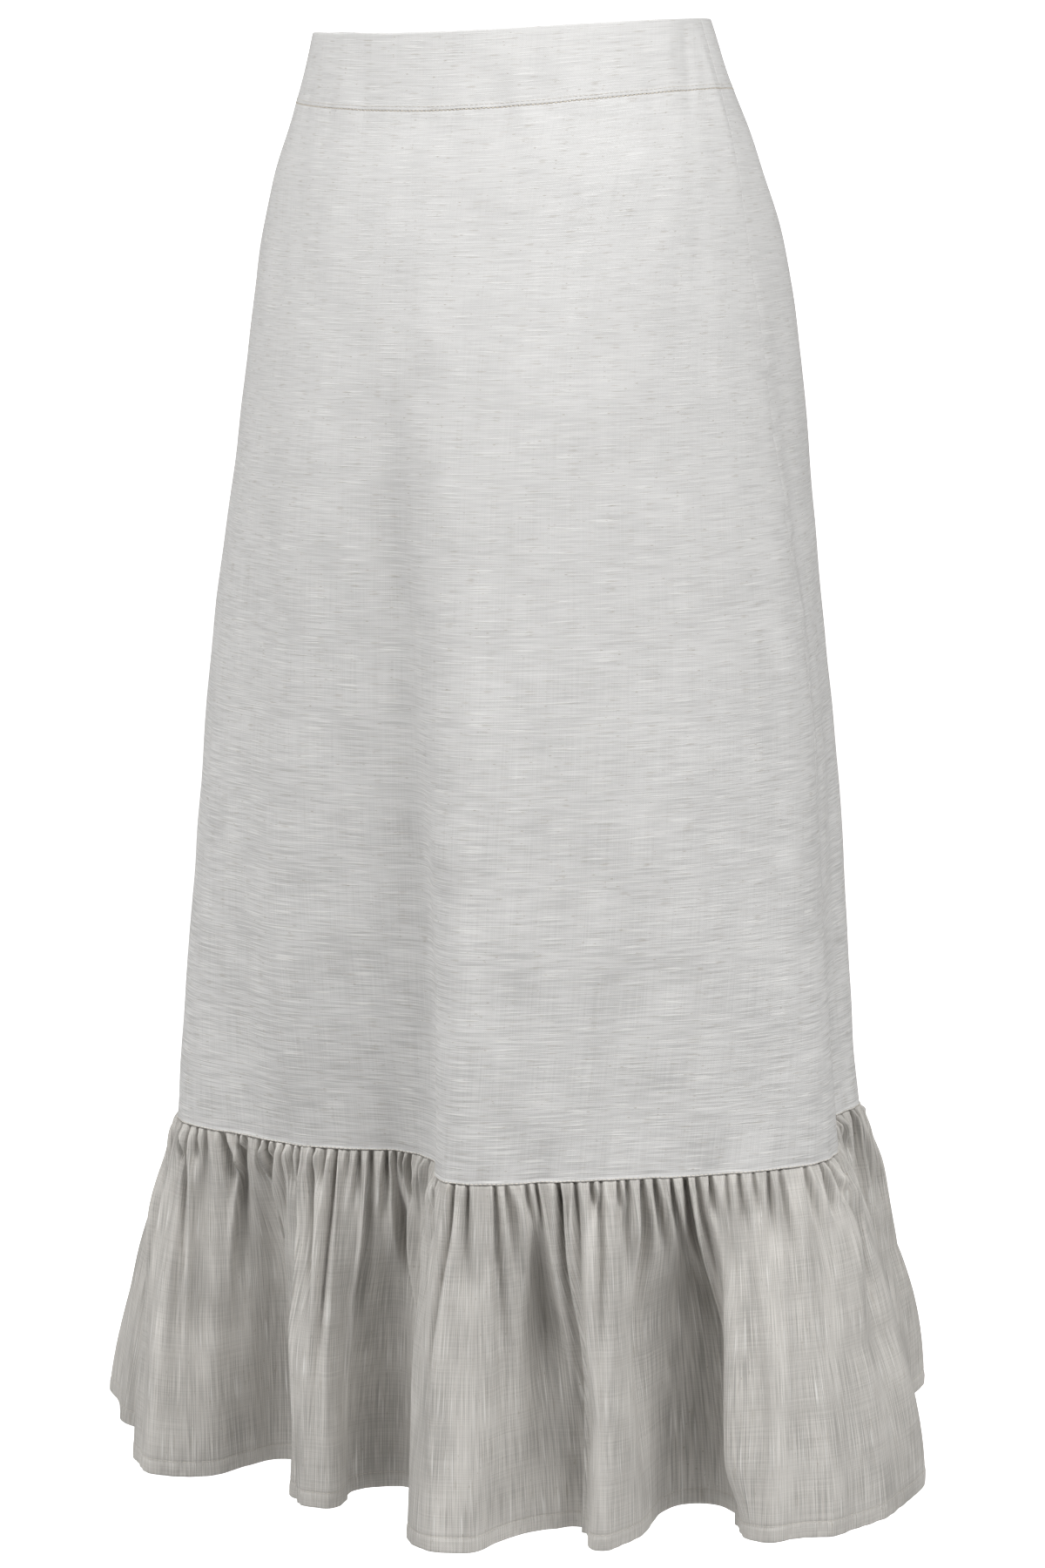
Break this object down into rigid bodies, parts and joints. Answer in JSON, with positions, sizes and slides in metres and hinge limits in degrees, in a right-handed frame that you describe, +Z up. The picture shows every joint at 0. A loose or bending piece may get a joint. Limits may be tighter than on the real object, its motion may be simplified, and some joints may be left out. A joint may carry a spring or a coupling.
{
  "type": "midi skirt",
  "caption": "A-line midi skirt in woven linen with a contoured waistband, smooth front and back panels and a deep gathered ruffle at the hem, hollow and held as worn",
  "frame": {"origin": "the middle of the waist, halfway up the waistband, where the wearer holds the skirt", "axes": "+Z up, front faces -Y, the wearer's left side seam is on the +X side"},
  "size_m": [0.5357, 0.4604, 0.8759],
  "materials": {
    "linen": "matt plain-woven linen, pale oatmeal grey",
    "ruffle_linen": "the same matt linen, turned so that its slubs run down the ruffle"
  },
  "bodies": {
    "root": {"waistband_front": "linen", "waistband_back": "linen", "front_panel": "linen", "back_panel": "linen", "ruffle_front": "ruffle_linen", "ruffle_back": "ruffle_linen"}
  },
  "joints": []
}
